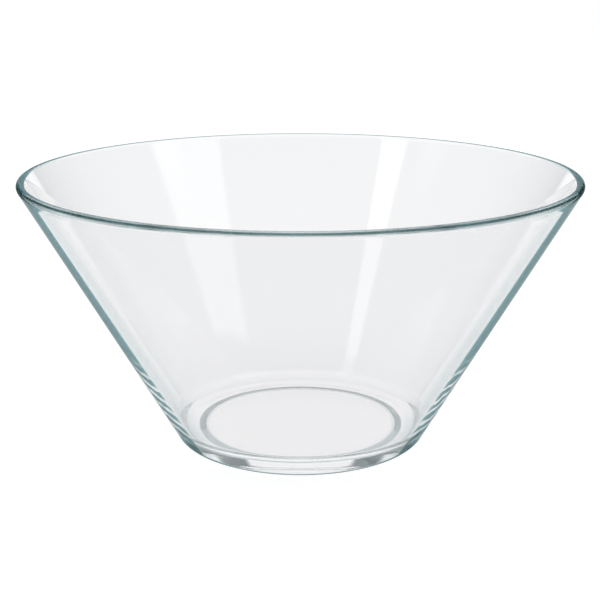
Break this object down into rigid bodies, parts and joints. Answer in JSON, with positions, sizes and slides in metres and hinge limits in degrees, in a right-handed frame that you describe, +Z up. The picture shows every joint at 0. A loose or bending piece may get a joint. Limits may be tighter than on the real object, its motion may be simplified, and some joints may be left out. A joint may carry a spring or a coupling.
{
  "type": "glass bowl",
  "caption": "Conical clear glass serving bowl: straight flared wall, fire-polished rim, thick flat floor with a filleted inner corner, rounded heel and a standing ring.",
  "frame": {"origin": "centre of the standing ring, on the plane that the bowl stands on", "axes": "+Z up along the bowl's axis of revolution; the bowl is round, so the directions of X and Y are free"},
  "size_m": [0.28, 0.28, 0.1381],
  "materials": {
    "glass": "clear soda-lime glass, fire-polished, with a faint blue-green tint that shows in the rim, the wall's edges and the thick base"
  },
  "bodies": {
    "root": {"bowl": "glass"}
  },
  "joints": []
}
